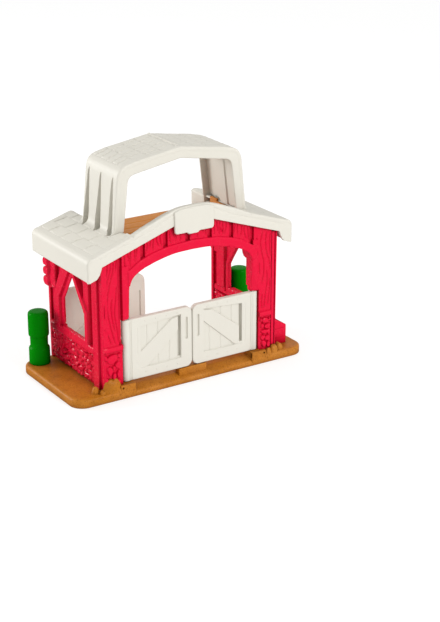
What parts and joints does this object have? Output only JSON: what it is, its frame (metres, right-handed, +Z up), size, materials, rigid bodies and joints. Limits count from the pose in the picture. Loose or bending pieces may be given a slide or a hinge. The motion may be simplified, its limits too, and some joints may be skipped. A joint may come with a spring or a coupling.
{
  "type": "toy barn with opening doors",
  "caption": "Moulded toy barn with two swinging front doors under an arch, a rear gate, side windows, a loft in an open gable roof and a carry handle.",
  "frame": {"origin": "centre of the base plate's footprint, on the surface it stands on", "axes": "+Z up, the doorway faces -Y, +X to the right seen from the front"},
  "size_m": [0.2, 0.09, 0.1753],
  "materials": {
    "red": "moulded, semi-gloss, bright red, with a moulded wood and stone relief",
    "brown": "moulded, semi-gloss, tan brown",
    "cream": "moulded, semi-gloss, off-white",
    "green": "moulded, glossy, deep green",
    "steel": "zinc plated screws and pins"
  },
  "bodies": {
    "root": {"base_plate": "brown", "base_screws": "steel", "front_wall": "red", "arch_liner": "red", "left_side_wall": "red", "right_side_wall": "red", "side_wall_screws": "steel", "left_door_pin": "steel", "right_door_pin": "steel", "rear_gate_pin": "steel", "feed_trough": "red", "trough_screws": "steel", "loft_tray": "brown", "tray_screws": "steel", "roof_shell": "cream", "roof_screws": "steel", "sign_plate": "cream", "handle_shell": "cream", "handle_liner": "cream", "handle_screws": "steel", "left_corner_post": "green", "right_corner_post": "green", "post_screws": "steel"},
    "left_front_door": {"left_front_door": "cream"},
    "right_front_door": {"right_front_door": "cream"},
    "rear_gate": {"rear_gate": "cream"}
  },
  "joints": [
    {"name": "left_door_hinge", "type": "hinge", "parent": "root", "child": "left_front_door", "pos_m": [-0.0551, -0.038, 0.0347], "axis": [0, 0, 1], "range_deg": [-90, 90]},
    {"name": "right_door_hinge", "type": "hinge", "parent": "root", "child": "right_front_door", "pos_m": [0.0551, -0.038, 0.0347], "axis": [0, 0, 1], "range_deg": [-90, 90]},
    {"name": "rear_gate_hinge", "type": "hinge", "parent": "root", "child": "rear_gate", "pos_m": [-0.0662, 0.0389, 0.0354], "axis": [0, 0, 1], "range_deg": [0, 90]}
  ]
}
